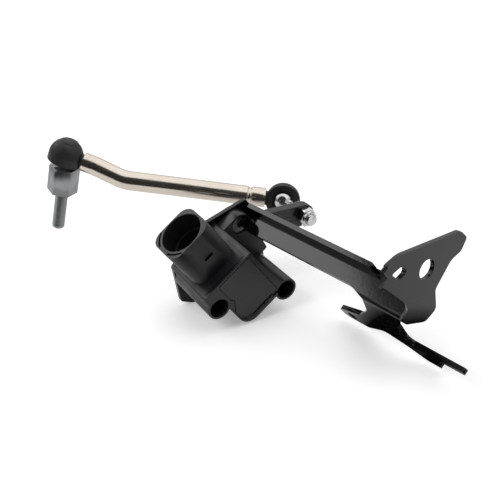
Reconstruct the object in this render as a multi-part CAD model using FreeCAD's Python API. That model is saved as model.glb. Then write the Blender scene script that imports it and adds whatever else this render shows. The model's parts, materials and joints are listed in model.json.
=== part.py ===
import FreeCAD, Part
import math
import os

from FreeCAD import Placement, Rotation, Vector

os.makedirs("parts", exist_ok=True)

# Headlight level sensor. The origin is the centre of the bolt hole in the bracket's outer plate, on its
# front face, with the hole along Y. The arm runs along Y and the whole sensor leans over about it.

# Attitude
bracket_roll = 38.5          # lean of the arm about its own length
sensor_yaw = 8.05            # turn of the sensor on the arm, about the arm's upright

# Fits
slip = 0.3                   # between pieces that move past each other
running = 0.05               # radial, between a shaft or a ball and its bearing
bolt_play = 0.25             # radial, round a screw
tuck = 0.05                  # how far a flat wall lies inside the round boss that it runs into

# Sensor block, seen from its cover: width, height, depth back to the bracket
block_left = -20.4
block_right = 5.9
block_top = 12.3
block_bottom = -16.2
block_depth = 28.0
block_edge = 0.8             # radius of the block's upright edges
slant_start = 8.3            # height where the left wall starts to lean out towards its boss
hump_left = -15.7
hump_radius = 6.0
boss_radius = 5.0
boss_bore = 4.15             # radius of the well for the screw's head
ear_thickness = 6.0          # the ear is a flange at the block's rear, with a boss of its own
ear_corner_x = 14.7
ear_bottom = -14.0
ear_boss = (12.7, 5.9)
left_boss = (-18.24, 3.12)
low_boss = (6.42, -17.35)
boss_places = (ear_boss, left_boss, low_boss)
screw_radius = 2.0
head_height = 2.6
screw_drive = 3.0            # across the flats of the recess in its head
plate_nut_flats = 7.0
nut_washer = 4.6
deep_grip = 10.0             # wall under the screw heads in the two long bosses
ear_grip = 2.5               # the same in the ear's boss
nut_thickness = 3.0
screw_proud = 0.3            # how far a screw's tip stands out of its nut

# Connector socket on top of the block
socket_width = 19.3
socket_depth = 18.5
socket_height = 19.7
socket_corner = 5.0
socket_thick_side = 0.9      # extra wall on the left
socket_x = -7.35
socket_y = 15.0
socket_bore = 8.75
socket_key_bore = 7.8        # narrower lower half of the bore
socket_key_depth = 9.0
socket_floor = 2.0
latch_shift = 0.7            # the recess sits a little left of the socket's middle
latch_width = 4.1
latch_height = 3.2
latch_rise = 11.4
latch_depth = 0.8
crescent_gap = 1.8           # from the bore to the crescent's outer side
crescent_width = 0.8
crescent_turn = 143.0        # where the crescents' middles lie round the bore, one each side of its left
crescent_depth = 2.0
crescent_sweep = 40.0

# Frame lines of the block
groove_width = 0.35
groove_inset = 2.4
groove_depth = 0.5

# Cover and what it closes in
cover_thickness = 1.6
cover_setback = 0.15         # from the block's front face to the cover's
cover_left = -12.5
cover_right = 3.7
cover_top = 11.0
cover_bottom = -12.9
cover_corner = 1.2
cover_round = 5.5
cover_bulge = 2.3            # how far the cover's lower half reaches further left
bulge_top = -5.5
notch_top = 1.5              # a small notch in the cover's left edge
notch_bottom = -1.6
notch_depth = 0.9
seam = 0.5                   # gap round the cover, filled with sealant
low_seam = 1.9               # the wider gap under it
bead_start = 0.5
board_thickness = 1.6
board_play = 0.6
board_ledge = 1.0
board_face = 7.0             # depth of the board's rear side
board_pocket_depth = 10.8
chip_size = 2.4
chip_thickness = 1.6
pin_side = 0.64
pin_pitch = 2.6
pin_count = 4
pin_row = 12.2
pin_level = 6.2
pin_top = 25.0

# Shaft and rotor
shaft_radius = 3.0
rotor_radius = 6.0
rotor_length = 4.0
rotor_gap = 3.0              # from the magnet ring to the bush
rotor_play = 0.8             # round the magnet ring and in front of it
bush_radius = 4.8
bush_length = 7.0
spigot_radius = 7.4
spigot_length = 3.0
seal_length = 2.2

# Bracket, one sheet of steel, in the arm's own frame
sheet = 2.0
bend = 1.6                   # outer radius of the folds
web_level = -9.8
web_edge = 12.3
riser_face = 9.7             # the web widens to here, where the lower flange folds down
flange_face = 20.2           # inner face of the tall flange
flange_top = -5.1
arm_length = 54.1            # from the block's cover to the outer plate
hole_across = 35.2
hole_down = -24.8
mount_hole = 4.2
riser_near = 49.5            # the lower flange's fold runs from here
riser_far = 66.8             # to here
foot_bottom = -45.5
foot_top = -34.8
prong_length = 85.0
short_prong_length = 71.4
prong_width = 2.4
fork_slot = 5.8
lobe_hole = 2.25
lobe_along = -27.0
lobe_down = -41.7

# Lever and its ball stud
lever_droop = 36.5           # angle of the lever below the block's width
lever_length = 48.3
lever_gap = 3.75             # from the bracket's plate to the lever
lever_thickness = 4.5
lever_hub = 7.5
lever_end = 5.2
hub_gap = 1.4                # from the bracket's plate to the lever's hub
hub_nut_flats = 10.0
hub_nut_height = 4.2
shaft_proud = 0.8            # how far the shaft stands out of its nut
stud_proud = 1.6             # how far the ball stud's tip stands out of its nut
nut_collar = 1.1             # height of the round collar on the lock nut
nut_flats = 8.0
nut_height = 4.6
stud_radius = 2.5
collar_radius = 4.0
collar_height = 2.6
ball_radius = 5.0
ball_neck = 2.2
ball_reach = 13.05           # from the lever's rear face to the ball's centre

# Ball sockets
liner = 0.8
socket_wall = 2.3
lip_angle = 66.0             # from the mouth's axis to the lip, seen from the ball's centre
skirt_rise = 2.5             # height of the socket's straight skirt over the ball's centre
dome_rise = 0.3
dome_share = 0.5             # the dome's flat against the socket's radius
ring_height = 0.7
shank_length = 12.0
crimp_place = 16.0           # from the lever's ball to the groove rolled into the tube
crimp_depth = 0.7
crimp_roll = 1.1

# Link rod
rod_heading = 137.2
rod_rise = 10.9
rod_length = 104.7
rod_radius = 4.6
rod_wall = 1.2
bend_start = 28.7            # from the axle-side ball back to the rod's two bends
bend_end = 14.2
bend_drop = 6.6
neck_drop = 2.6
bend_radius = 17.0

# Axle-side ball stud
stud_lean_x = -0.11
stud_lean_y = 0.21
stud_lean_z = -0.97
hex_flats = 12.6
hex_height = 13.5
hex_start = 5.6              # from the ball's centre to the top of the hexagon
thread_radius = 3.0
thread_length = 20.0

up = Vector(0, 0, 1)
along_y = Vector(0, 1, 0)
origin = Vector(0, 0, 0)

# Depths that follow from the sizes above
rotor_start = block_depth - bush_length - rotor_gap - rotor_length
rotor_cavity_start = rotor_start - rotor_play
rotor_cavity_radius = rotor_radius + rotor_play
ear_front = block_depth - ear_thickness
deep_seat = block_depth - deep_grip
ear_seat = block_depth - ear_grip
plate_back = block_depth + sheet
lever_face = plate_back + lever_gap
lever_back = lever_face + lever_thickness
hub_front = plate_back + hub_gap
ball_standoff = lever_back + ball_reach

# Frames
arm_turn = Rotation(along_y, -bracket_roll)
hole_centre = Vector(hole_across, -arm_length, hole_down)
arm_frame = Placement(-arm_turn.multVec(hole_centre), arm_turn)
shaft_in_arm = Vector(-3.37, 0.48, -12.3)
lobe_hole_centre = Vector(riser_face + sheet / 2, lobe_along, lobe_down)
slot_top = foot_top - prong_width
fork_slot_centre = Vector(riser_face + sheet / 2, -(riser_far + 0.6), slot_top - fork_slot / 2)
sensor_on_arm = Placement(shaft_in_arm, Rotation(up, -sensor_yaw))
sensor_frame = arm_frame.multiply(sensor_on_arm)
lever_frame = sensor_frame.multiply(Placement(origin, Rotation(along_y, lever_droop)))
lever_ball = lever_frame.multVec(Vector(lever_length, ball_standoff, 0))
rod_turn = Rotation(rod_heading, -rod_rise, 0)
rod_frame = Placement(lever_ball, rod_turn)
axle_ball = rod_frame.multVec(Vector(rod_length, 0, 0))


def placed(shape, frame):
    """The shape moved from its own frame to the part's frame."""
    moved = shape.copy()
    moved.Placement = frame.multiply(moved.Placement)
    return moved


def save(name, shape):
    shape.exportStep("parts/" + name + ".step")


def rounded_wire(corners):
    """A closed wire through (point, radius) corners that lie in one plane, each corner an arc."""
    edges = []
    count = len(corners)
    starts = []
    for index in range(count):
        point, radius = corners[index]
        before = (corners[index - 1][0] - point).normalize()
        after = (corners[(index + 1) % count][0] - point).normalize()
        half = before.getAngle(after) / 2
        if radius <= 0:
            starts.append((point, point))
            continue
        setback = radius / math.tan(half)
        first = point + before * setback
        last = point + after * setback
        centre = point + (before + after).normalize() * (radius / math.sin(half))
        middle = centre + (point - centre).normalize() * radius
        edges.append(Part.Arc(first, middle, last).toShape())
        starts.append((first, last))
    for index in range(count):
        leave = starts[index][1]
        reach = starts[(index + 1) % count][0]
        if (reach - leave).Length > 1e-6:
            edges.append(Part.makeLine(leave, reach))
    return Part.Wire(Part.__sortEdges__(edges))


def facing_y(corners, start, depth):
    """A prism from y = start, with its outline given as (x, z, radius)."""
    points = [(Vector(x, start, z), radius) for x, z, radius in corners]
    return Part.Face(rounded_wire(points)).extrude(Vector(0, depth, 0))


def facing_x(corners, start, depth):
    """A prism from x = start, with its outline given as (y, z, radius)."""
    points = [(Vector(start, y, z), radius) for y, z, radius in corners]
    return Part.Face(rounded_wire(points)).extrude(Vector(depth, 0, 0))


def facing_z(corners, start, depth):
    """A prism from z = start, with its outline given as (x, y, radius)."""
    points = [(Vector(x, y, start), radius) for x, y, radius in corners]
    return Part.Face(rounded_wire(points)).extrude(Vector(0, 0, depth))


def rod_y(radius, start, end, x=0.0, z=0.0):
    return Part.makeCylinder(radius, end - start, Vector(x, start, z), along_y)


def hexagon_y(flats, start, end, x=0.0, z=0.0):
    reach = flats / math.sqrt(3)
    corners = []
    for index in range(6):
        angle = math.radians(60 * index)
        corners.append((x + reach * math.cos(angle), z + reach * math.sin(angle), 0))
    return facing_y(corners, start, end - start)


def tangent_point(start, centre):
    """Where a line from the start touches a boss's circle, on its left as seen from the start."""
    across = start[0] - centre[0]
    rise = start[1] - centre[1]
    reach = boss_radius - tuck
    angle = math.atan2(rise, across) + math.acos(reach / math.hypot(across, rise))
    return centre[0] + reach * math.cos(angle), centre[1] + reach * math.sin(angle)


def main_block():
    """The block with its hump at the lower left, and a wall that leans out to the left boss."""
    corners = [
        (block_left, block_top, block_edge), (block_right, block_top, block_edge),
        (block_right, block_bottom, block_edge), (hump_left, block_bottom, hump_radius),
        (hump_left, left_boss[1], 0), (block_left, left_boss[1], 0),
    ]
    block = facing_y(corners, 0, block_depth)
    touch = tangent_point((block_left, slant_start), left_boss)
    wall = [(block_left, slant_start, 0), (touch[0], touch[1], 0), (left_boss[0], left_boss[1], 0)]
    return block.fuse(facing_y(wall, 0, block_depth))


def rear_ear():
    """The flange at the block's rear, round the third boss."""
    corner = (ear_corner_x, ear_bottom)
    touch = tangent_point(corner, ear_boss)
    top = ear_boss[1] + boss_radius - tuck
    outline = [
        (0, top, 0), (ear_boss[0], top, 0), (ear_boss[0], ear_boss[1], 0), (touch[0], touch[1], 0),
        (corner[0], corner[1], block_edge), (0, ear_bottom, 0),
    ]
    ear = facing_y(outline, ear_front, block_depth - ear_front)
    return ear.fuse(rod_y(boss_radius, ear_front, block_depth, ear_boss[0], ear_boss[1]))


def cover_outline(inset, low_gap=0.0):
    """The cover's outline drawn in by the inset; a low gap carries it further down."""
    left = cover_left + inset
    right = cover_right - inset
    top = cover_top - inset
    bottom = cover_bottom + inset - low_gap
    bulge = left - cover_bulge
    return [
        (left, top, cover_corner), (right, top, cover_corner), (right, bottom, cover_corner),
        (bulge, bottom, cover_round - inset), (bulge, bulge_top, cover_corner),
        (left, notch_bottom, block_edge / 2), (left + notch_depth, (notch_bottom + notch_top) / 2, block_edge / 2),
        (left, notch_top, block_edge / 2),
    ]


def socket_tower():
    left = socket_x - socket_width / 2 - socket_thick_side
    right = socket_x + socket_width / 2
    front = socket_y - socket_depth / 2
    back = socket_y + socket_depth / 2
    corners = [
        (left, front, socket_corner), (right, front, socket_corner), (right, back, socket_corner),
        (left, back, socket_corner),
    ]
    return facing_z(corners, block_top - 1.0, socket_height + 1.0)


def socket_bores():
    top = block_top + socket_height
    middle = Vector(socket_x, socket_y, top - socket_key_depth)
    wide = Part.makeCylinder(socket_bore, socket_key_depth + 1.0, middle, up)
    floor = Vector(socket_x, socket_y, block_top + socket_floor)
    narrow = Part.makeCylinder(socket_key_bore, socket_height, floor, up)
    return wide.fuse(narrow)


def crescent(turn):
    """A short arc-shaped slot in the socket's rim, at one of its corners."""
    top = block_top + socket_height
    base = Vector(socket_x, socket_y, top - crescent_depth)
    reach = socket_bore + crescent_gap
    outer = Part.makeCylinder(reach, crescent_depth + 1.0, base, up, crescent_sweep)
    inner = Part.makeCylinder(reach - crescent_width, crescent_depth + 1.0, base, up)
    ring = outer.cut(inner)
    ring.rotate(base, up, turn - crescent_sweep / 2)
    return ring


def latch_recess():
    front = socket_y - socket_depth / 2
    left = socket_x + latch_shift - latch_width / 2
    low = Vector(left, front - 1.0, block_top + latch_rise - latch_height)
    return Part.makeBox(latch_width, latch_depth + 1.0, latch_height, low)


def top_groove():
    """The thin line that frames the block's upper face."""
    outer_left = block_left + groove_inset * 0.7
    outer_right = block_right - groove_inset
    outer = Part.makeBox(outer_right - outer_left, block_depth - groove_inset, groove_depth + 1.0,
                         Vector(outer_left, groove_inset * 0.5, block_top - groove_depth))
    inner = Part.makeBox(outer_right - outer_left - 2 * groove_width,
                         block_depth - groove_inset - 2 * groove_width, groove_depth + 1.0,
                         Vector(outer_left + groove_width, groove_inset * 0.5 + groove_width,
                                block_top - groove_depth))
    return outer.cut(inner)


def terminal(index):
    """A bent pin: up in the socket, and forward inside the block to the board."""
    x = socket_x + (index - (pin_count - 1) / 2) * pin_pitch - pin_side / 2
    upright = Part.makeBox(pin_side, pin_side, pin_top - pin_level, Vector(x, pin_row, pin_level))
    foot = Part.makeBox(pin_side, pin_row - board_face, pin_side, Vector(x, board_face, pin_level))
    return upright.fuse(foot).removeSplitter()


def board_pocket():
    front = facing_y(cover_outline(board_play), cover_thickness, board_face - cover_thickness)
    rear = facing_y(cover_outline(board_play + board_ledge), board_face, board_pocket_depth - board_face)
    return front.fuse(rear)


def seat_depth(index):
    """How deep a boss's screw head sits: the ear's boss is the short one."""
    return ear_seat if index == 0 else deep_seat


def sensor_housing():
    body = main_block().fuse(rear_ear())
    for x, z in (left_boss, low_boss):
        body = body.fuse(rod_y(boss_radius, 0, block_depth, x, z))
    body = body.fuse(socket_tower())
    body = body.fuse(rod_y(spigot_radius, block_depth - 1.0, block_depth + spigot_length))
    body = body.cut(facing_y(cover_outline(-seam, low_seam - seam), -1.0, cover_thickness + 1.0))
    body = body.cut(board_pocket())
    body = body.cut(rod_y(rotor_cavity_radius, rotor_cavity_start, block_depth - bush_length))
    body = body.cut(rod_y(bush_radius, block_depth - bush_length, block_depth + spigot_length + 1.0))
    for index in range(3):
        x, z = boss_places[index]
        seat = seat_depth(index)
        body = body.cut(rod_y(boss_bore, -1.0, seat, x, z))
        body = body.cut(rod_y(screw_radius + bolt_play, seat - 1.0, block_depth + 1.0, x, z))
    body = body.cut(socket_bores())
    body = body.cut(latch_recess())
    body = body.cut(crescent(crescent_turn))
    body = body.cut(crescent(-crescent_turn))
    body = body.cut(top_groove())
    for index in range(pin_count):
        body = body.cut(terminal(index))
    return body.removeSplitter()


def rear_cover():
    return facing_y(cover_outline(0), cover_setback, cover_thickness - cover_setback)


def sealing_bead():
    """The bead of sealant in the gap round the cover, wider under it."""
    outer = facing_y(cover_outline(-seam, low_seam - seam), bead_start, cover_thickness - bead_start)
    return outer.cut(facing_y(cover_outline(0), 0, cover_thickness + 1.0))


def circuit_board():
    return facing_y(cover_outline(board_play), board_face - board_thickness, board_thickness)


def sensing_chip():
    half = chip_size / 2
    return Part.makeBox(chip_size, chip_thickness, chip_size, Vector(-half, board_face, -half))


def shaft_bush():
    outer = rod_y(bush_radius, block_depth - bush_length, block_depth)
    return outer.cut(rod_y(shaft_radius + running, block_depth - bush_length - 1.0, block_depth + 1.0))


def shaft_seal():
    start = block_depth + spigot_length - seal_length
    outer = rod_y(bush_radius, start, start + seal_length)
    return outer.cut(rod_y(shaft_radius + running, start - 1.0, start + seal_length + 1.0))


def boss_screw(index):
    x, z = boss_places[index]
    seat = seat_depth(index)
    head = rod_y(boss_bore - slip, seat - head_height, seat, x, z)
    drive = hexagon_y(screw_drive, seat - head_height - 1.0, seat - head_height / 3, x, z)
    shank = rod_y(screw_radius, seat, block_depth + sheet + nut_thickness + screw_proud, x, z)
    return head.cut(drive).fuse(shank).removeSplitter()


def plate_nut(index):
    x, z = boss_places[index]
    back = block_depth + sheet
    nut = hexagon_y(plate_nut_flats, back, back + nut_thickness, x, z)
    nut = nut.fuse(rod_y(nut_washer, back, back + nut_thickness / 3, x, z))
    return nut.cut(rod_y(screw_radius, back - 1.0, back + nut_thickness + 1.0, x, z)).removeSplitter()


def rotor_shaft():
    return rod_y(shaft_radius, rotor_start, lever_back + hub_nut_height + shaft_proud)


def rotor_magnet():
    disc = rod_y(rotor_radius, rotor_start, rotor_start + rotor_length)
    return disc.cut(rod_y(shaft_radius, rotor_start - 1.0, rotor_start + rotor_length + 1.0))


# Bracket pieces. Their outlines are in the arm's frame, except for the plate behind the sensor.

def sensor_plate():
    """The plate across the shaft that carries the sensor on its three bosses."""
    right = 22.0
    low_right = low_boss[0] + boss_radius + 0.6
    bottom = low_boss[1] - boss_radius - 2.2
    corners = [
        (block_left + 0.6, block_top - 1.3, 1.5), (3.6, 14.9, 2.0), (right, 8.7, 1.0), (right, -0.4, 1.0),
        (ear_corner_x + 3.6, -1.0, 2.0), (low_right, bottom + 1.6, 5.0), (0.5, bottom, 6.0),
        (-24.6, -11.0, 3.0), (-27.8, -5.4, 2.0),
    ]
    plate = facing_y(corners, block_depth, sheet)
    plate = plate.cut(rod_y(spigot_radius + slip, block_depth - 1.0, block_depth + sheet + 1.0))
    for x, z in boss_places:
        plate = plate.cut(rod_y(screw_radius + bolt_play, block_depth - 1.0, block_depth + sheet + 1.0, x, z))
    return placed(plate, sensor_on_arm)


def ear_room():
    """The notch in the web that lets the housing's ear in, in the arm's frame."""
    reach = ear_boss[0] + boss_radius + slip
    room = Part.makeBox(reach, block_depth - ear_front + 2 * slip, ear_boss[1] + boss_radius - ear_bottom,
                        Vector(0, ear_front - 2 * slip, ear_bottom))
    return placed(room, sensor_on_arm)


def arm_channel():
    """The web and the tall flange, one angle with a rounded fold, from the sensor plate to the outer plate."""
    low = web_level - sheet
    outer = flange_face + sheet
    section = [
        (web_edge, low, 0), (outer, low, bend), (outer, flange_top, 0), (flange_face, flange_top, 0),
        (flange_face, web_level, 0), (web_edge, web_level, 0),
    ]
    start = -arm_length
    channel = facing_y(section, start, arm_length + block_depth - 1.2)
    # relief between the tall flange and the outer plate
    relief = Part.makeBox(sheet + 4.0, 5.0, 12.0, Vector(flange_face - 2.0, start + sheet, web_level + 0.6))
    return channel.cut(relief).cut(ear_room())


def web_flare():
    """The web widens towards its free edge near the outer plate."""
    inside = web_edge + 4.5
    corners = [
        (web_edge + 1.0, -30.0, 0), (web_edge - 0.2, -42.0, 9.0), (riser_face, -riser_near, 0),
        (riser_face, -riser_far, 0), (web_edge + 3.0, -riser_far, 3.0), (inside, -arm_length - 2.0, 1.0),
        (inside, -30.0, 0),
    ]
    return facing_z(corners, web_level - sheet, sheet)


def outer_plate():
    """The plate with the bolt hole: a wing to the side, a lobe below, and a slanted slot."""
    corners = [
        (web_edge + 3.2, web_level, 0.5), (21.4, -8.0, 1.0), (22.6, flange_top + 0.7, 1.0), (29.3, -6.4, 10.0),
        (56.0, -27.8, 3.0), (57.0, -33.6, 1.5), (51.6, -35.8, 3.0), (46.0, -34.0, 6.0), (33.6, -37.2, 3.0),
        (29.4, -45.6, 2.5), (22.5, -44.8, 4.0), (15.2, -35.0, 3.0), (web_edge + 5.0, -20.0, 8.0),
    ]
    plate = facing_y(corners, -arm_length, sheet)
    plate = plate.cut(rod_y(mount_hole, -arm_length - 1.0, -arm_length + sheet + 1.0, hole_across, hole_down))
    # the slanted slot beside the tall flange
    slot = facing_y([
        (22.4, -9.4, 0.5), (27.3, -10.9, 1.4), (28.6, -15.7, 1.4), (23.5, -14.9, 1.0),
    ], -arm_length - 1.0, sheet + 2.0)
    return plate.cut(slot)


def lower_flange():
    """The flange folded down from the web's free edge: a lobe with a hole at one end, a fork at the other."""
    slot_bottom = slot_top - fork_slot
    outline = [
        (-riser_near, web_level, 0), (-riser_far, web_level, 0), (-60.2, -22.5, 3.0), (-59.0, foot_top, 3.0),
        (-prong_length, foot_top, 1.0), (-prong_length, slot_top, 1.0), (-58.8, slot_top, 0.8),
        (-63.5, slot_bottom, 1.0), (-short_prong_length, slot_bottom, 1.0),
        (-short_prong_length, foot_bottom, 1.0), (-64.3, foot_bottom, 2.0), (-57.0, -41.0, 3.0),
        (-46.4, -37.6, 6.0), (-34.0, foot_bottom, 3.0), (-21.6, foot_bottom, 3.0), (-19.4, -41.0, 2.0),
        (-36.0, -33.4, 6.0), (-45.4, -22.0, 4.0),
    ]
    flange = facing_x(outline, riser_face, sheet)
    reach = Vector(-sheet, 0, 0)
    hole = Part.makeCylinder(lobe_hole, 2 * sheet, lobe_hole_centre + reach, Vector(1, 0, 0))
    return flange.cut(hole)


def folded_flange():
    """The web's flare and the lower flange, with the fold between them rounded."""
    corner = web_flare().fuse(lower_flange()).removeSplitter()
    folds = []
    for edge in corner.Edges:
        box = edge.BoundBox
        on_fold = abs(box.XMax - riser_face) < 0.01 and abs(box.ZMin - web_level) < 0.01
        if on_fold and box.XLength < 0.01 and box.ZLength < 0.01:
            folds.append(edge)
    return corner.makeFillet(bend, folds)


def mounting_bracket():
    sheet_metal = sensor_plate()
    for piece in (arm_channel(), folded_flange(), outer_plate()):
        sheet_metal = sheet_metal.fuse(piece)
    return placed(sheet_metal.removeSplitter(), arm_frame)


# Lever, in its own frame: X along the lever from the shaft, Y along the shaft

def lever_blank(inset, start, end):
    """The lever's tapered outline between its round hub and round end."""
    hub = lever_hub - inset
    tip = lever_end - inset
    taper = math.asin((hub - tip) / lever_length)
    lean = math.sin(taper)
    rise = math.cos(taper)
    hub_up = Vector(hub * lean, start, hub * rise)
    hub_down = Vector(hub * lean, start, -hub * rise)
    tip_up = Vector(lever_length + tip * lean, start, tip * rise)
    tip_down = Vector(lever_length + tip * lean, start, -tip * rise)
    edges = [
        Part.makeLine(hub_up, tip_up),
        Part.Arc(tip_up, Vector(lever_length + tip, start, 0), tip_down).toShape(),
        Part.makeLine(tip_down, hub_down),
        Part.Arc(hub_down, Vector(-hub, start, 0), hub_up).toShape(),
    ]
    return Part.Face(Part.Wire(edges)).extrude(Vector(0, end - start, 0))


def lever_arm():
    back = lever_back
    arm = lever_blank(0, lever_face, back)
    arm = arm.fuse(rod_y(lever_hub - 1.0, hub_front, lever_face))
    arm = arm.cut(rod_y(shaft_radius, hub_front - 1.0, back + 1.0))
    arm = arm.cut(rod_y(stud_radius, lever_face - 1.0, back + 1.0, lever_length))
    return arm.removeSplitter()


def hub_nut():
    nut = hexagon_y(hub_nut_flats, lever_back, lever_back + hub_nut_height)
    return nut.cut(rod_y(shaft_radius, lever_back - 1.0, lever_back + hub_nut_height + 1.0))


def lever_ball_stud():
    """Threaded shank through the lever, collar against its rear face, neck and ball."""
    back = lever_back
    shank = rod_y(stud_radius, lever_face - nut_height - stud_proud, back, lever_length)
    collar = rod_y(collar_radius, back, back + collar_height, lever_length)
    neck = rod_y(ball_neck, back, ball_standoff, lever_length)
    ball = Part.makeSphere(ball_radius, Vector(lever_length, ball_standoff, 0))
    return shank.fuse(collar).fuse(neck).fuse(ball).removeSplitter()


def lock_nut():
    start = lever_face - nut_height
    nut = hexagon_y(nut_flats, start + nut_collar, lever_face, lever_length)
    nut = nut.fuse(rod_y(nut_flats / 2 - 0.5, start, lever_face, lever_length))
    return nut.cut(rod_y(stud_radius, start - 1.0, lever_face + 1.0, lever_length)).removeSplitter()


# Ball sockets, about the ball's centre, mouth along +Z

def bowl(inner, outer):
    """A round bowl about the ball, open beyond the lip."""
    shell = Part.makeSphere(outer)
    if inner > 0:
        shell = shell.cut(Part.makeSphere(inner))
    reach = outer + 4.0
    spread = reach * math.tan(math.radians(lip_angle))
    mouth = Part.makeCone(0, spread, reach)
    return shell.cut(mouth)


def socket_liner():
    return bowl(ball_radius + running, ball_radius + liner)


def ball_socket():
    """The socket: a bowl with a domed back, a straight skirt and a shank to the side, along +X."""
    inner = ball_radius + liner + running
    outer = inner + socket_wall
    body = Part.makeSphere(outer)
    body = body.fuse(Part.makeCylinder(outer, skirt_rise, origin, up))
    body = body.fuse(Part.makeCylinder(outer * dome_share, outer + dome_rise, Vector(0, 0, -outer - dome_rise), up))
    body = body.fuse(Part.makeCylinder(rod_radius - rod_wall, shank_length, origin, Vector(1, 0, 0)))
    body = body.cut(Part.makeCylinder(2 * outer, outer, Vector(0, 0, skirt_rise), up))
    body = body.cut(Part.makeSphere(inner))
    reach = outer + 4.0
    spread = reach * math.tan(math.radians(lip_angle))
    body = body.cut(Part.makeCone(0, spread, reach))
    return body.removeSplitter()


def rod_route():
    """Corner points of the rod's centreline, in the rod's frame."""
    return [
        origin, Vector(rod_length - bend_start, 0, -bend_drop), Vector(rod_length - bend_end, 0, -neck_drop),
        Vector(rod_length, 0, 0),
    ]


def socket_turn(mouth, towards):
    """The rotation that points a socket's mouth and its shank along the given directions."""
    side = towards.normalize()
    face = (mouth - side * mouth.dot(side)).normalize()
    return Rotation(side, face.cross(side), face, "XZY")


def lever_socket_frame():
    route = rod_route()
    turn = socket_turn(Vector(0, 1, 0), route[1] - route[0])
    return rod_frame.multiply(Placement(route[0], turn))


def axle_socket_frame():
    route = rod_route()
    turn = socket_turn(Vector(0, 0, -1), route[2] - route[3])
    return rod_frame.multiply(Placement(route[3], turn))


def rod_tube():
    """The bent tube between the sockets' shanks."""
    route = rod_route()
    first = (route[1] - route[0]).normalize()
    last = (route[2] - route[3]).normalize()
    clear = ball_radius + liner + running + socket_wall + slip
    begin = route[0] + first * clear
    finish = route[3] + last * clear
    corners = [begin, route[1], route[2], finish]
    edges = []
    leave = begin
    for index in (1, 2):
        point = corners[index]
        before = (corners[index - 1] - point).normalize()
        after = (corners[index + 1] - point).normalize()
        half = before.getAngle(after) / 2
        setback = bend_radius / math.tan(half)
        arc_in = point + before * setback
        arc_out = point + after * setback
        centre = point + (before + after).normalize() * (bend_radius / math.sin(half))
        middle = centre + (point - centre).normalize() * bend_radius
        edges.append(Part.makeLine(leave, arc_in))
        edges.append(Part.Arc(arc_in, middle, arc_out).toShape())
        leave = arc_out
    edges.append(Part.makeLine(leave, finish))
    path = Part.Wire(edges)
    outer = Part.Wire(Part.makeCircle(rod_radius, begin, first))
    inner = Part.Wire(Part.makeCircle(rod_radius - rod_wall, begin, first))
    tube = path.makePipeShell([outer], True, False)
    tube = tube.cut(path.makePipeShell([inner], True, False))
    # the groove rolled in over the lever-side shank
    roll = Part.makeTorus(rod_radius - crimp_depth + crimp_roll, crimp_roll, route[0] + first * crimp_place, first)
    return tube.cut(roll)


def dust_ring():
    """The thin ring clipped on the axle-side socket's mouth."""
    outer = ball_radius + liner + running + socket_wall
    base = Vector(0, 0, skirt_rise)
    ring = Part.makeCylinder(outer, ring_height, base, up)
    hole = Part.makeCylinder(skirt_rise * math.tan(math.radians(lip_angle)) + slip, 2.0, base, up)
    return ring.cut(hole)


def stud_frame():
    lean = Vector(stud_lean_x, stud_lean_y, stud_lean_z)
    return Placement(axle_ball, Rotation(up, lean))


def axle_ball_stud():
    """Ball, neck, hexagon and threaded end, along +Z from the ball's centre."""
    ball = Part.makeSphere(ball_radius)
    neck = Part.makeCylinder(ball_neck, hex_start + 1.0, origin, up)
    reach = hex_flats / math.sqrt(3)
    corners = []
    for index in range(6):
        angle = math.radians(60 * index + 30)
        corners.append((reach * math.cos(angle), reach * math.sin(angle), 0))
    body = facing_z(corners, hex_start, hex_height)
    bevel = Part.makeCone(hex_flats / 2, hex_flats / 2 + hex_height, hex_height, Vector(0, 0, hex_start), up)
    body = body.common(bevel)
    foot = hex_start + hex_height
    thread = Part.makeCylinder(thread_radius, thread_length, Vector(0, 0, foot), up)
    tip = Part.makeCone(thread_radius, thread_radius - 0.8, 0.8, Vector(0, 0, foot + thread_length), up)
    return ball.fuse(neck).fuse(body).fuse(thread).fuse(tip).removeSplitter()


save("mounting_bracket", mounting_bracket())
save("sensor_housing", placed(sensor_housing(), sensor_frame))
save("rear_cover", placed(rear_cover(), sensor_frame))
save("sealing_bead", placed(sealing_bead(), sensor_frame))
save("circuit_board", placed(circuit_board(), sensor_frame))
save("sensing_chip", placed(sensing_chip(), sensor_frame))
for number in range(pin_count):
    save("terminal_" + str(number + 1), placed(terminal(number), sensor_frame))
for number in range(3):
    save("boss_screw_" + str(number + 1), placed(boss_screw(number), sensor_frame))
    save("plate_nut_" + str(number + 1), placed(plate_nut(number), sensor_frame))
save("shaft_bush", placed(shaft_bush(), sensor_frame))
save("shaft_seal", placed(shaft_seal(), sensor_frame))
save("rotor_shaft", placed(rotor_shaft(), lever_frame))
save("rotor_magnet", placed(rotor_magnet(), lever_frame))
save("lever_arm", placed(lever_arm(), lever_frame))
save("hub_nut", placed(hub_nut(), lever_frame))
save("lever_ball_stud", placed(lever_ball_stud(), lever_frame))
save("lock_nut", placed(lock_nut(), lever_frame))
save("lever_side_liner", placed(socket_liner(), lever_socket_frame()))
save("lever_side_socket", placed(ball_socket(), lever_socket_frame()))
save("link_rod", placed(rod_tube(), rod_frame))
save("axle_side_socket", placed(ball_socket(), axle_socket_frame()))
save("axle_side_liner", placed(socket_liner(), axle_socket_frame()))
save("dust_ring", placed(dust_ring(), axle_socket_frame()))
save("axle_ball_stud", placed(axle_ball_stud(), stud_frame()))
print("lever ball", lever_ball, "axle ball", axle_ball)
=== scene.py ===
import json
import math

import bpy
from mathutils import Matrix, Vector


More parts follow.
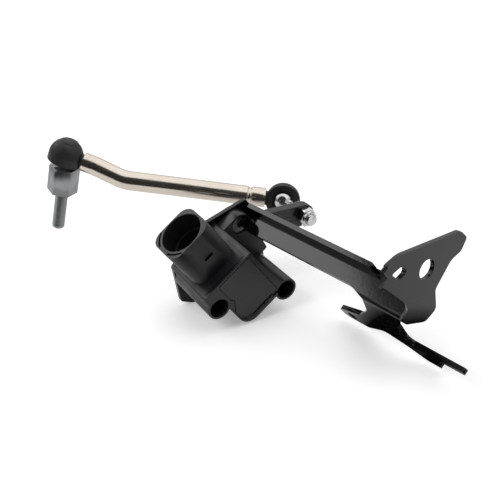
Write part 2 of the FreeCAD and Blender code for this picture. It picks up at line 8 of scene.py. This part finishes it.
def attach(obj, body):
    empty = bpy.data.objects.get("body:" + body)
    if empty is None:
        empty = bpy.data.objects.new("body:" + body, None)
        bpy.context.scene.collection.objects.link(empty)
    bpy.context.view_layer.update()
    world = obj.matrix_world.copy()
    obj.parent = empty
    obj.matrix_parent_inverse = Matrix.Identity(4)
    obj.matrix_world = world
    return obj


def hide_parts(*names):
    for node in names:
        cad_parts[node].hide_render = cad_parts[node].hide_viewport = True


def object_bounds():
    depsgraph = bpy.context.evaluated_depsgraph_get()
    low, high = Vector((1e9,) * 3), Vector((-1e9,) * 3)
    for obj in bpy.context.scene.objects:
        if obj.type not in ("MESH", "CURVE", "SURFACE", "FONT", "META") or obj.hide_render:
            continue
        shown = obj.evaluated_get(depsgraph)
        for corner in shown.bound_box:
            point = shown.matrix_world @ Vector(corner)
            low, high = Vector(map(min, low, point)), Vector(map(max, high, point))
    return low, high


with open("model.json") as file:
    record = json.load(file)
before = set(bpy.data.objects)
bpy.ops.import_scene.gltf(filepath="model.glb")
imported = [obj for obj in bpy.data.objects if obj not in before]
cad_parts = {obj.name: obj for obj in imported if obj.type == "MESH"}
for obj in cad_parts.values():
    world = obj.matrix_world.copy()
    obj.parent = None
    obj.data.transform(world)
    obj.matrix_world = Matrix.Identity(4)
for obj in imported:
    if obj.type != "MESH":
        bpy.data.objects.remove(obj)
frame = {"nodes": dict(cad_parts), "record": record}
cad_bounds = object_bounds()

# The camera stands in front of the part, to its left and a little above it. Its place, turn and lens follow
# from the perspective of the part itself.

scene = bpy.context.scene
scene.view_settings.view_transform = "Standard"
lens_mm = 57.6
sensor_mm = 36.0
camera_place = Vector((-0.21618, -0.16525, 0.13706))
camera_right = Vector((0.781406, -0.624023, 0.0))
camera_up = Vector((0.273865, 0.342935, 0.898551))
camera_back = Vector((-0.560716, -0.702133, 0.43887))
camera_data = bpy.data.cameras.new("camera")
camera_data.lens = lens_mm
camera_data.sensor_width = sensor_mm
camera_data.clip_start = 0.01
camera = bpy.data.objects.new("camera", camera_data)
scene.collection.objects.link(camera)
camera_turn = Matrix((camera_right, camera_up, camera_back)).transposed()
camera.matrix_world = Matrix.Translation(camera_place) @ camera_turn.to_4x4()
scene.camera = camera

# The part lies on matt white paper, lifted to pure white where no shadow falls. In what the shiny pieces
# mirror, the paper is painted dark: a painted dark reflection a little way towards the camera, where the camera
# itself sees white paper, and a painted shadow under the bracket's foot.

sweep_size = 6.0
paper_below = 0.00005        # from the part's lowest point down to the paper
front_x = -0.795             # the level direction from the part to the camera
front_y = -0.607
dark_from = 0.03             # where the painted dark reflection begins, towards the camera
dark_to = 0.06
foot_centre = (0.004, 0.004, 0.0)
foot_reach = 0.036           # the painted shadow under the bracket's foot, seen in reflections only
foot_core = 0.6              # the share of that reach that is fully dark
paper_lift = 0.30            # light added to the paper, for the camera only


def linear(code):
    """A colour written as an sRGB hex code, turned to the linear values that the shader takes."""
    values = []
    for start in (0, 2, 4):
        value = int(code[start:start + 2], 16) / 255
        values.append(value / 12.92 if value <= 0.04045 else ((value + 0.055) / 1.055) ** 2.4)
    return (values[0], values[1], values[2], 1.0)


def add_node(tree, kind, settings, links):
    """Adds a node. Settings go to its properties or sockets, links join its sockets to others' outputs."""
    node = tree.nodes.new(kind)
    for name, value in settings.items():
        if name in node.inputs:
            node.inputs[name].default_value = value
        else:
            setattr(node, name, value)
    for name, source in links.items():
        tree.links.new(source, node.inputs[name])
    return node


def empty_material(name):
    """A new material with nothing in it but its output."""
    material = bpy.data.materials.new(name)
    material.use_nodes = True
    tree = material.node_tree
    tree.nodes.clear()
    output = tree.nodes.new("ShaderNodeOutputMaterial")
    return material, tree, output


def position_of(tree):
    """The place on the piece, in metres, that every pattern is drawn from."""
    return add_node(tree, "ShaderNodeTexCoord", {}, {}).outputs["Object"]


def against(tree, operation, vector, fixed):
    """A vector operation between a socket and a fixed vector."""
    node = add_node(tree, "ShaderNodeVectorMath", {"operation": operation}, {0: vector})
    node.inputs[1].default_value = fixed
    return node


def maths(tree, operation, first, second):
    """The result of an operation between two values, each a number or another node's output."""
    node = add_node(tree, "ShaderNodeMath", {"operation": operation}, {})
    for index, value in enumerate((first, second)):
        if isinstance(value, float):
            node.inputs[index].default_value = value
        else:
            tree.links.new(value, node.inputs[index])
    return node.outputs[0]


def spread(tree, value, low, high, start=0.35, end=0.65):
    """A value's range from start to end, stretched between low and high. The usual range is a noise's middle."""
    settings = {"From Min": start, "From Max": end, "To Min": low, "To Max": high}
    return add_node(tree, "ShaderNodeMapRange", settings, {"Value": value}).outputs["Result"]


bpy.ops.object.select_all(action="DESELECT")
bpy.ops.mesh.primitive_plane_add(size=sweep_size, location=(0, 0, cad_bounds[0][2] - paper_below))
sweep = bpy.context.object
sweep.name = "white_sweep"
paper, tree, output = empty_material("matt_white_paper")
light_path = add_node(tree, "ShaderNodeLightPath", {}, {})
place = position_of(tree)
# Painted dark reflection and painted shadow: in reflections only, the paper turns dark towards the camera and
# under the bracket's foot.
toward_camera = against(tree, "DOT_PRODUCT", place, (front_x, front_y, 0.0)).outputs["Value"]
painted_dark_reflection = spread(tree, toward_camera, 0.0, 1.0, dark_from, dark_to)
from_foot = against(tree, "DISTANCE", place, foot_centre).outputs["Value"]
painted_foot_shadow = spread(tree, from_foot, 0.0, 1.0, foot_reach, foot_reach * foot_core)
painted_dark_paper = maths(tree, "MAXIMUM", painted_dark_reflection, painted_foot_shadow)
painted_in_reflections = maths(tree, "MULTIPLY", painted_dark_paper, light_path.outputs["Is Glossy Ray"])
lift = spread(tree, light_path.outputs["Is Camera Ray"], 0.0, paper_lift, 0.0, 1.0)
matt = add_node(tree, "ShaderNodeBsdfDiffuse", {"Color": linear("f4f4f4")}, {})
glow = add_node(tree, "ShaderNodeEmission", {"Color": linear("ffffff")}, {"Strength": lift})
lit = add_node(tree, "ShaderNodeAddShader", {}, {0: matt.outputs[0], 1: glow.outputs[0]})
# The near-black colour of that painted shade.
unlit = add_node(tree, "ShaderNodeEmission", {"Color": linear("0c0c0d"), "Strength": 1.0}, {})
both_sides = {0: painted_in_reflections, 1: lit.outputs[0], 2: unlit.outputs[0]}
both = add_node(tree, "ShaderNodeMixShader", {}, both_sides)
tree.links.new(both.outputs[0], output.inputs["Surface"])
sweep.data.materials.append(paper)

# A tent of white cloth lights the part, dim at the horizon and bright above. A window shows in it, with a
# darker gap above that, and the dark room behind the camera. The camera itself sees pure white all round.

horizon_strength = 0.25
horizon_height = 0.1
tent_strength = 1.1
tent_height = 0.6
window = {"direction": (-0.31, 0.68, 0.66), "inner_deg": 11.0, "outer_deg": 14.0, "strength": 2.4}
dark_gap = {"direction": (-0.20, 0.45, 0.87), "inner_deg": 12.2, "outer_deg": 13.4, "strength": 0.2}
dark_room = {"direction": (front_x, front_y, 0.30), "inner_deg": 44.0, "outer_deg": 52.0, "strength": 0.03}
world = bpy.data.worlds.new("light_tent")
world.use_nodes = True
scene.world = world
tree = world.node_tree
tree.nodes.clear()
output = tree.nodes.new("ShaderNodeOutputWorld")
light_path = add_node(tree, "ShaderNodeLightPath", {}, {})
sky_direction = add_node(tree, "ShaderNodeTexCoord", {}, {}).outputs["Generated"]
height = add_node(tree, "ShaderNodeSeparateXYZ", {}, {"Vector": sky_direction}).outputs["Z"]
tent = spread(tree, height, horizon_strength, tent_strength, horizon_height, tent_height)
for patch in (window, dark_gap, dark_room):
    middle = Vector(patch["direction"]).normalized()
    cosine = against(tree, "DOT_PRODUCT", sky_direction, middle).outputs["Value"]
    edge_cosine = math.cos(math.radians(patch["outer_deg"]))
    full_cosine = math.cos(math.radians(patch["inner_deg"]))
    inside = spread(tree, cosine, 0.0, 1.0, edge_cosine, full_cosine)
    change = maths(tree, "SUBTRACT", patch["strength"], tent)
    tent = maths(tree, "ADD", maths(tree, "MULTIPLY", change, inside), tent)
tent = maths(tree, "MAXIMUM", tent, light_path.outputs["Is Camera Ray"])
sky = add_node(tree, "ShaderNodeBackground", {"Color": linear("ffffff")}, {"Strength": tent})
tree.links.new(sky.outputs[0], output.inputs["Surface"])

# One soft box stands high at the left of the part. It lights the faces that look that way and casts the
# soft shadows on the paper, and no shiny piece mirrors it.

lamp_size = 0.35
lamp_watts = 2.6
lamp_place = Vector((-0.75, -0.02, 0.60))
lamp_target = Vector((-0.02, 0.06, 0.0))
soft_box = bpy.data.lights.new("soft_box", "AREA")
soft_box.size = lamp_size
soft_box.energy = lamp_watts
lamp = bpy.data.objects.new("soft_box", soft_box)
scene.collection.objects.link(lamp)
lamp.location = lamp_place
lamp.rotation_euler = (lamp_target - lamp_place).to_track_quat("-Z", "Y").to_euler()
lamp.visible_glossy = False

# The mounting bracket is one blank of 2 mm steel, folded and then dip-coated in black. The coat is smooth
# and glossy with a faint orange peel.


def per_metre(size_mm):
    """The scale that gives a noise pattern features of about the given size."""
    return 1000.0 / size_mm


def noise(tree, size_mm, detail=2.0, rough=0.5):
    """A noise pattern with features of the given size."""
    settings = {"Scale": per_metre(size_mm), "Detail": detail, "Roughness": rough}
    return add_node(tree, "ShaderNodeTexNoise", settings, {"Vector": position_of(tree)}).outputs["Fac"]


def bump_from(tree, height, strength, distance_mm):
    """A bump of the given depth."""
    settings = {"Strength": strength, "Distance": distance_mm / 1000}
    return add_node(tree, "ShaderNodeBump", settings, {"Height": height}).outputs["Normal"]


def mixed_colour(tree, factor, first, second):
    """A blend of two colours by a pattern."""
    ramp = add_node(tree, "ShaderNodeValToRGB", {}, {"Fac": factor})
    ramp.color_ramp.elements[0].color = linear(first)
    ramp.color_ramp.elements[1].color = linear(second)
    return ramp.outputs["Color"]


def surface(tree, output, settings, links):
    """The shader of a surface, joined to the material's output."""
    shader = add_node(tree, "ShaderNodeBsdfPrincipled", settings, links)
    tree.links.new(shader.outputs[0], output.inputs["Surface"])


def finish_node(names, material):
    """Gives CAD nodes their material."""
    for name in names:
        node = frame["nodes"][name]
        node.data.materials.clear()
        node.data.materials.append(material)


def bevel_edges(piece, width_mm, angle_deg):
    """Rounds a piece's sharp edges by a little, as tools and coatings leave them."""
    bevel = piece.modifiers.new("softened", "BEVEL")
    bevel.width = width_mm / 1000
    bevel.segments = 2
    bevel.limit_method = "ANGLE"
    bevel.angle_limit = math.radians(angle_deg)
    return bevel


def soften_edges(names, width_mm):
    """Joins the split corners of CAD nodes and softens their edges."""
    for name in names:
        node = frame["nodes"][name]
        weld = node.modifiers.new("joined", "WELD")
        weld.merge_threshold = 0.000001
        bevel = bevel_edges(node, width_mm, 32.0)
        bevel.harden_normals = False
        bevel.use_clamp_overlap = True


coated_sheet, tree, output = empty_material("dip_coated_steel_sheet")
peel = noise(tree, 1.6)
speckle = noise(tree, 0.5, 4.0, 0.6)
surface(tree, output, {"IOR": 1.5, "Specular IOR Level": 0.55}, {
    "Base Color": mixed_colour(tree, noise(tree, 9.0), "060606", "0d0d0e"),
    "Roughness": spread(tree, speckle, 0.06, 0.12),
    "Normal": bump_from(tree, peel, 0.12, 0.06),
})
finish_node(["mounting_bracket"], coated_sheet)
soften_edges(["mounting_bracket"], 0.25)

# The sensor's housing is moulded in glass-filled nylon, black, with three bosses and the plug socket in one
# shot. Its skin is satin and a little cloudy, with a very fine grain. No light reaches into the hole for the
# plug's latch, so its colour is darkened there behind that wall, as painted shade.

depth_axis = Vector((0.1096, 0.9902, 0.0872))    # into the sensor, at right angles to its front
latch_centre = Vector((-0.05616, 0.0620, -0.00046))
latch_wall = -0.0007         # along the depth axis from the latch's centre
latch_dark = -0.0004
latch_edge = 0.0036          # how far from the centre the falling off begins
latch_core = 0.0032
factor_socket = 0            # the colour sockets of the mix node, which share their names with others
first_socket = 6
second_socket = 7
result_socket = 2
moulded_nylon, tree, output = empty_material("glass_filled_nylon")
grain = noise(tree, 0.22, 3.0, 0.6)
cloud = noise(tree, 7.0)
skin = mixed_colour(tree, cloud, "141416", "1c1c1f")
# Painted shade: inside the latch's hole, behind its wall, the skin colour is darkened to near black.
to_latch = against(tree, "SUBTRACT", position_of(tree), latch_centre).outputs[0]
into_latch = against(tree, "DOT_PRODUCT", to_latch, depth_axis).outputs["Value"]
from_latch = add_node(tree, "ShaderNodeVectorMath", {"operation": "LENGTH"}, {0: to_latch}).outputs["Value"]
behind_wall = spread(tree, into_latch, 0.0, 1.0, latch_wall, latch_dark)
near_latch = spread(tree, from_latch, 0.0, 1.0, latch_edge, latch_core)
skin_and_painted_shade = add_node(tree, "ShaderNodeMix", {"data_type": "RGBA"}, {})
tree.links.new(maths(tree, "MULTIPLY", behind_wall, near_latch), skin_and_painted_shade.inputs[factor_socket])
tree.links.new(skin, skin_and_painted_shade.inputs[first_socket])
skin_and_painted_shade.inputs[second_socket].default_value = linear("030303")
surface(tree, output, {"IOR": 1.53}, {
    "Base Color": skin_and_painted_shade.outputs[result_socket],
    "Roughness": spread(tree, cloud, 0.30, 0.42),
    "Normal": bump_from(tree, grain, 0.25, 0.03),
})
finish_node(["sensor_housing"], moulded_nylon)
soften_edges(["sensor_housing"], 0.2)

# The cover is a separate moulding, pressed in flush, of a slightly greyer polyester with the same fine
# grain.

moulded_cover, tree, output = empty_material("satin_polyester_moulding")
cloud = noise(tree, 5.0)
grain = noise(tree, 0.3, 3.0, 0.6)
surface(tree, output, {"IOR": 1.55}, {
    "Base Color": mixed_colour(tree, cloud, "1c1c1e", "252528"),
    "Roughness": spread(tree, cloud, 0.34, 0.44),
    "Normal": bump_from(tree, grain, 0.2, 0.03),
})
finish_node(["rear_cover"], moulded_cover)
soften_edges(["rear_cover"], 0.15)

# The bead of sealant round the cover was run in wet and set glossy, with small waves. The thicker run under
# the cover, further down, takes the same material.

set_sealant, tree, output = empty_material("set_silicone_sealant")
waves = noise(tree, 1.1, 2.0)
surface(tree, output, {"IOR": 1.45, "Roughness": 0.1}, {
    "Base Color": mixed_colour(tree, noise(tree, 3.0), "050505", "0b0b0c"),
    "Normal": bump_from(tree, waves, 0.8, 0.5),
})
finish_node(["sealing_bead"], set_sealant)

# Inside the housing: a laminate board with its solder mask, the sensing chip in black epoxy, four tinned
# brass pins, the rotor's ferrite ring, a sintered bronze bush and a rubber shaft seal. The axle-side socket's
# dust ring is of the same rubber.

solder_mask, tree, output = empty_material("solder_masked_laminate")
surface(tree, output, {"IOR": 1.5, "Roughness": 0.35}, {
    "Base Color": mixed_colour(tree, noise(tree, 1.2), "1d5a33", "27683e"),
})
finish_node(["circuit_board"], solder_mask)

chip_epoxy, tree, output = empty_material("moulded_chip_epoxy")
surface(tree, output, {"IOR": 1.5, "Roughness": 0.55}, {
    "Base Color": mixed_colour(tree, noise(tree, 0.3), "1b1b1d", "232325"),
})
finish_node(["sensing_chip"], chip_epoxy)

tinned_pin, tree, output = empty_material("tinned_brass")
surface(tree, output, {"Metallic": 1.0}, {
    "Base Color": mixed_colour(tree, noise(tree, 1.0), "cfc9b8", "ded9cb"),
    "Roughness": spread(tree, noise(tree, 0.4), 0.22, 0.36),
})
finish_node(["terminal_%d" % number for number in (1, 2, 3, 4)], tinned_pin)

hard_ferrite, tree, output = empty_material("pressed_ferrite")
surface(tree, output, {"IOR": 1.9, "Roughness": 0.6}, {
    "Base Color": mixed_colour(tree, noise(tree, 0.5), "242427", "303034"),
})
finish_node(["rotor_magnet"], hard_ferrite)

oiled_bronze, tree, output = empty_material("sintered_bronze")
surface(tree, output, {"Metallic": 1.0}, {
    "Base Color": mixed_colour(tree, noise(tree, 0.35, 3.0), "8d6b3a", "a98450"),
    "Roughness": spread(tree, noise(tree, 0.3), 0.35, 0.55),
})
finish_node(["shaft_bush"], oiled_bronze)

seal_rubber, tree, output = empty_material("nitrile_rubber")
surface(tree, output, {"IOR": 1.52}, {
    "Base Color": mixed_colour(tree, noise(tree, 0.8), "0e0e0f", "171718"),
    "Roughness": spread(tree, noise(tree, 0.5), 0.5, 0.65),
})
finish_node(["shaft_seal", "dust_ring"], seal_rubber)

# The shaft and the nuts are turned steel with a thin zinc plating, which stays silvery grey and shows fine
# tool marks. The screws in the bosses are plated too, and passivated black, but their colour is lifted to a
# mid grey as painted light, so that they show lit in the shade deep in the bosses.

zinc_plate, tree, output = empty_material("zinc_plated_steel")
tooling = noise(tree, 0.25, 3.0)
surface(tree, output, {"Metallic": 1.0}, {
    "Base Color": mixed_colour(tree, noise(tree, 2.0), "a9aaa8", "c6c7c4"),
    "Roughness": spread(tree, tooling, 0.24, 0.38),
    "Normal": bump_from(tree, tooling, 0.15, 0.02),
})
zinc_nuts = ["hub_nut"] + ["plate_nut_%d" % number for number in (1, 2, 3)]
finish_node(["rotor_shaft"] + zinc_nuts, zinc_plate)
soften_edges(zinc_nuts, 0.25)

# Painted light: this grey is lifted well above black passivate's, so the screws show lit in the bosses' shade.
black_zinc_painted_light, tree, output = empty_material("black_zinc_lifted_by_painted_light")
surface(tree, output, {"Metallic": 1.0}, {
    "Base Color": mixed_colour(tree, noise(tree, 1.0), "6a6a6d", "8c8c90"),
    "Roughness": spread(tree, noise(tree, 0.3), 0.2, 0.34),
})
finish_node(["boss_screw_%d" % number for number in (1, 2, 3)], black_zinc_painted_light)

# The lever is a stamped steel arm, 4.5 mm thick, dip-coated in the same black as the bracket, but thinner
# and satin.

coated_lever, tree, output = empty_material("satin_coated_steel")
peel = noise(tree, 1.2)
surface(tree, output, {"IOR": 1.5}, {
    "Base Color": mixed_colour(tree, noise(tree, 6.0), "0a0a0b", "131314"),
    "Roughness": spread(tree, noise(tree, 0.5, 4.0), 0.22, 0.34),
    "Normal": bump_from(tree, peel, 0.15, 0.05),
})
finish_node(["lever_arm"], coated_lever)
soften_edges(["lever_arm"], 0.35)

# The lever's ball stud and its lock nut are hardened steel with bright zinc, the nut's faces nearly mirror
# smooth.

bright_zinc, tree, output = empty_material("bright_zinc_steel")
marks = noise(tree, 0.6, 3.0)
surface(tree, output, {"Metallic": 1.0}, {
    "Base Color": mixed_colour(tree, marks, "c9cacb", "e2e3e4"),
    "Roughness": spread(tree, marks, 0.10, 0.22),
    "Normal": bump_from(tree, marks, 0.1, 0.02),
})
finish_node(["lever_ball_stud", "lock_nut"], bright_zinc)
soften_edges(["lock_nut"], 0.3)

# Both ball sockets are moulded in black acetal, matt with a dry, slightly blotched skin, each with a smooth
# dark acetal liner round the ball.

dry_acetal, tree, output = empty_material("matt_acetal")
blotch = noise(tree, 3.5, 3.0)
grain = noise(tree, 0.3, 3.0, 0.6)
surface(tree, output, {"IOR": 1.48}, {
    "Base Color": mixed_colour(tree, blotch, "1a1a1c", "272729"),
    "Roughness": spread(tree, blotch, 0.42, 0.58),
    "Normal": bump_from(tree, grain, 0.3, 0.03),
})
finish_node(["lever_side_socket", "axle_side_socket"], dry_acetal)
soften_edges(["lever_side_socket"], 0.25)

smooth_acetal, tree, output = empty_material("smooth_acetal")
surface(tree, output, {"IOR": 1.48, "Roughness": 0.3}, {
    "Base Color": mixed_colour(tree, noise(tree, 1.5), "111113", "1a1a1c"),
})
finish_node(["lever_side_liner", "axle_side_liner"], smooth_acetal)

# The link rod is drawn stainless tube, polished and faintly warm. Fine draw lines run along it, so their
# noise is turned to the rod's direction and drawn out in it.

rod_pitch_deg = -10.9
rod_heading_deg = 137.2
line_squeeze = 0.04          # the scale of the noise along the rod against across it
drawn_stainless, tree, output = empty_material("polished_stainless_tube")
along = add_node(tree, "ShaderNodeMapping", {"vector_type": "TEXTURE"}, {"Vector": position_of(tree)})
along.inputs["Rotation"].default_value = (0.0, math.radians(rod_pitch_deg), math.radians(rod_heading_deg))
stretched = add_node(tree, "ShaderNodeMapping", {}, {"Vector": along.outputs[0]})
stretched.inputs["Scale"].default_value = (line_squeeze, 1.0, 1.0)
draw_lines = add_node(tree, "ShaderNodeTexNoise", {"Scale": per_metre(0.35), "Detail": 3.0},
                      {"Vector": stretched.outputs[0]}).outputs["Fac"]
surface(tree, output, {"Metallic": 1.0}, {
    "Base Color": mixed_colour(tree, noise(tree, 12.0), "d8cdc0", "e9e0d4"),
    "Roughness": spread(tree, draw_lines, 0.16, 0.26),
    "Normal": bump_from(tree, draw_lines, 0.12, 0.02),
})
finish_node(["link_rod"], drawn_stainless)
soften_edges(["link_rod"], 0.2)

# The axle-side stud is cold-formed steel with a dull zinc plating, grey and a little blotched. Its end
# carries an M6 thread, cut as a helix round the shank.

m6_pitch = 1.0
thread_lead_in = 0.8         # the plain tip before the first turn
wedge_share = 0.44           # half the cutting wedge's width, as a share of the pitch
wedge_clear = 0.02           # how far outside the shank the wedge is centred
steps_per_turn = 24


def select_only(piece):
    """Makes a piece the one that the next commands work on."""
    bpy.ops.object.select_all(action="DESELECT")
    bpy.context.view_layer.objects.active = piece
    piece.select_set(True)


def settled():
    """The object that is active, with its place and turn written into its mesh."""
    bpy.ops.object.transform_apply(location=True, rotation=True, scale=True)
    return bpy.context.object


def replacement(node_name, name):
    """A copy of a CAD node, with its split corners joined, that stands in the node's place."""
    node = frame["nodes"][node_name]
    piece = node.copy()
    piece.data = node.data.copy()
    piece.name = name
    scene.collection.objects.link(piece)
    select_only(piece)
    bpy.ops.object.mode_set(mode="EDIT")
    bpy.ops.mesh.select_all(action="SELECT")
    bpy.ops.mesh.remove_doubles(threshold=0.000002)
    bpy.ops.object.mode_set(mode="OBJECT")
    return piece


def cut_away(piece, cutter):
    """Takes the cutter's form out of the piece and removes the cutter."""
    taken = piece.modifiers.new("taken", "BOOLEAN")
    taken.operation = "DIFFERENCE"
    taken.solver = "EXACT"
    taken.object = cutter
    select_only(piece)
    bpy.ops.object.modifier_apply(modifier=taken.name)
    bpy.data.objects.remove(cutter, do_unlink=True)


def thread_cutter(start, direction, radius_mm, pitch_mm, length_mm):
    """A wedge wound round a shank from its start: what a thread's die takes away."""
    bpy.ops.object.select_all(action="DESELECT")
    bpy.ops.mesh.primitive_circle_add(vertices=4, radius=pitch_mm * wedge_share / 1000, fill_type="NOTHING",
                                      location=((radius_mm + wedge_clear) / 1000, 0, 0),
                                      rotation=(math.radians(90), 0, 0))
    cutter = settled()
    winding = cutter.modifiers.new("winding", "SCREW")
    winding.axis = "Z"
    winding.angle = math.radians(360)
    winding.screw_offset = pitch_mm / 1000
    winding.iterations = max(1, int(length_mm / pitch_mm))
    winding.steps = steps_per_turn
    winding.render_steps = steps_per_turn
    bpy.ops.object.modifier_apply(modifier=winding.name)
    bpy.ops.object.mode_set(mode="EDIT")
    bpy.ops.mesh.select_all(action="SELECT")
    bpy.ops.mesh.remove_doubles(threshold=0.000001)
    bpy.ops.mesh.select_all(action="DESELECT")
    bpy.ops.mesh.select_mode(type="EDGE")
    bpy.ops.mesh.select_non_manifold()
    bpy.ops.mesh.edge_face_add()
    bpy.ops.mesh.select_all(action="SELECT")
    bpy.ops.mesh.fill_holes(sides=8)
    bpy.ops.mesh.normals_make_consistent(inside=False)
    bpy.ops.object.mode_set(mode="OBJECT")
    cutter.rotation_euler = direction.to_track_quat("Z", "Y").to_euler()
    cutter.location = start
    return settled()


def finish_piece(piece, node_name, body):
    """Shades a replacement and gives it its place in the part."""
    select_only(piece)
    bpy.ops.object.shade_smooth_by_angle(angle=math.radians(32))
    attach(piece, body)
    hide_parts(node_name)


dull_zinc, tree, output = empty_material("dull_zinc_steel")
blotch = noise(tree, 2.5, 4.0, 0.6)
surface(tree, output, {"Metallic": 1.0}, {
    "Base Color": mixed_colour(tree, blotch, "8f9293", "b4b7b8"),
    "Roughness": spread(tree, blotch, 0.34, 0.5),
    "Normal": bump_from(tree, noise(tree, 0.5, 3.0), 0.3, 0.04),
})
finish_node(["axle_ball_stud"], dull_zinc)
mounts = {mount["name"]: mount for mount in frame["record"]["mounts"]}
stud_mount = mounts["stud_thread"]
stud_axis = Vector(stud_mount["axis"])
stud_radius = stud_mount["dims"]["r_mm"]
thread_length = stud_mount["dims"]["length_mm"]
thread_start = Vector(stud_mount["pos_m"]) - stud_axis * (thread_length / 2 - thread_lead_in) / 1000
threaded_stud = replacement("axle_ball_stud", "threaded_axle_stud")
cut_away(threaded_stud, thread_cutter(thread_start, stud_axis, stud_radius, m6_pitch, thread_length))
finish_piece(threaded_stud, "axle_ball_stud", "stud")

# The lever's ball stud is threaded M5 and shows its last turns in front of the lock nut. They are cut in the
# same way as the other stud's.

m5_pitch = 0.8
m5_radius = 2.5
tip_turns_mm = 2.0
tip_from_ball = 0.02375
joints = {joint["name"]: joint for joint in frame["record"]["behaviour"]["joints"]}
lever_ball = Vector(joints["near_ball_spin"]["pos_m"])
m5_start = lever_ball - depth_axis * (tip_from_ball - tip_turns_mm / 1000)
threaded_lever_stud = replacement("lever_ball_stud", "threaded_lever_stud")
cut_away(threaded_lever_stud, thread_cutter(m5_start, -depth_axis, m5_radius, m5_pitch, tip_turns_mm))
finish_piece(threaded_lever_stud, "lever_ball_stud", "lever")

# The cap on the axle-side socket's dome is domed too. A disc that is hollowed by a ball a little larger than
# the dome turns the cap's proud rim down to the socket's own curve, and the edges are softened after that.

axle_ball = Vector((-0.059809, 0.169791, 0.011490))
axle_mouth = Vector((-0.2662, 0.2465, -0.9318)).normalized()
dome_radius = 8.15
cap_radius = 5.4
cap_proud = 0.22
disc_thickness = 0.004
disc_out = 0.6               # from the dome's top out to the disc's middle
mouth_turn = axle_mouth.to_track_quat("Z", "Y").to_euler()
domed_socket = replacement("axle_side_socket", "domed_axle_socket")
bpy.ops.object.select_all(action="DESELECT")
bpy.ops.mesh.primitive_cylinder_add(vertices=96, radius=cap_radius / 1000, depth=disc_thickness,
                                    location=axle_ball - axle_mouth * (dome_radius + disc_out) / 1000,
                                    rotation=mouth_turn)
rim_cutter = settled()
bpy.ops.object.select_all(action="DESELECT")
bpy.ops.mesh.primitive_uv_sphere_add(segments=128, ring_count=96, radius=(dome_radius + cap_proud) / 1000,
                                     location=axle_ball, rotation=mouth_turn)
kept_dome = settled()
cut_away(rim_cutter, kept_dome)
cut_away(domed_socket, rim_cutter)
finish_piece(domed_socket, "axle_side_socket", "link")
bevel_edges(domed_socket, 0.12, 40.0)

# The sealant stands up in the wide gap under the cover, as a glossy rounded run with waves in it. It is made
# from a straight bar and a piece of a ring round the cover's corner, in the sensor's own directions, and
# then laid in place.

sensor_base = Vector((-0.037967, 0.05458, -0.014228))
sensor_x = Vector((0.7749, -0.1400, 0.6164))
sensor_z = Vector((-0.6225, 0.0, 0.7826))
run_radius = 0.9
run_level = -13.95
run_depth = 0.62
corner_x = -9.3
corner_z = -7.4
straight_end = 0.9
arc_reach = 4.4              # how far the ring goes on beyond the corner's centre
arc_drop = 1.0               # how far below the corner's centre it ends
overlap = 0.0004             # between the bar and the ring
voxel_size = 0.00016
wave_size = 0.0016
wave_height = 0.0004
wave_middle = 0.6
bpy.ops.object.select_all(action="DESELECT")
bpy.ops.mesh.primitive_torus_add(major_radius=(corner_z - run_level) / 1000, minor_radius=run_radius / 1000,
                                 major_segments=96, minor_segments=20,
                                 location=(corner_x / 1000, run_depth / 1000, corner_z / 1000),
                                 rotation=(math.radians(90), 0, 0))
run = settled()
run.name = "sealant_run"
ring_cuts = (
    ((corner_x, 0, 0), (1, 0, 0)),
    ((0, 0, corner_z - arc_drop), (0, 0, 1)),
    ((corner_x - arc_reach, 0, 0), (-1, 0, 0)),
)
bpy.ops.object.mode_set(mode="EDIT")
for cut_place, cut_direction in ring_cuts:
    bpy.ops.mesh.select_all(action="SELECT")
    bpy.ops.mesh.bisect(plane_co=[value / 1000 for value in cut_place], plane_no=cut_direction,
                        use_fill=True, clear_outer=True)
bpy.ops.object.mode_set(mode="OBJECT")
bpy.ops.object.select_all(action="DESELECT")
straight = (straight_end - corner_x) / 1000
bar_x = corner_x / 1000 + straight / 2 - overlap / 2
bpy.ops.mesh.primitive_cylinder_add(vertices=20, radius=run_radius / 1000, depth=straight + overlap,
                                    location=(bar_x, run_depth / 1000, run_level / 1000),
                                    rotation=(0, math.radians(90), 0))
settled()
run.select_set(True)
bpy.context.view_layer.objects.active = run
bpy.ops.object.join()
merged = run.modifiers.new("merged", "REMESH")
merged.mode = "VOXEL"
merged.voxel_size = voxel_size
bpy.ops.object.modifier_apply(modifier=merged.name)
waves_texture = bpy.data.textures.new("sealant_waves", "CLOUDS")
waves_texture.noise_scale = wave_size
wavy = run.modifiers.new("wavy", "DISPLACE")
wavy.texture = waves_texture
wavy.strength = wave_height
wavy.mid_level = wave_middle
bpy.ops.object.modifier_apply(modifier=wavy.name)
sensor_turn = Matrix((sensor_x, depth_axis, sensor_z)).transposed().to_4x4()
run.matrix_world = Matrix.Translation(sensor_base) @ sensor_turn
settled()
bpy.ops.object.shade_smooth()
run.data.materials.clear()
run.data.materials.append(set_sealant)
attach(run, "sensor")
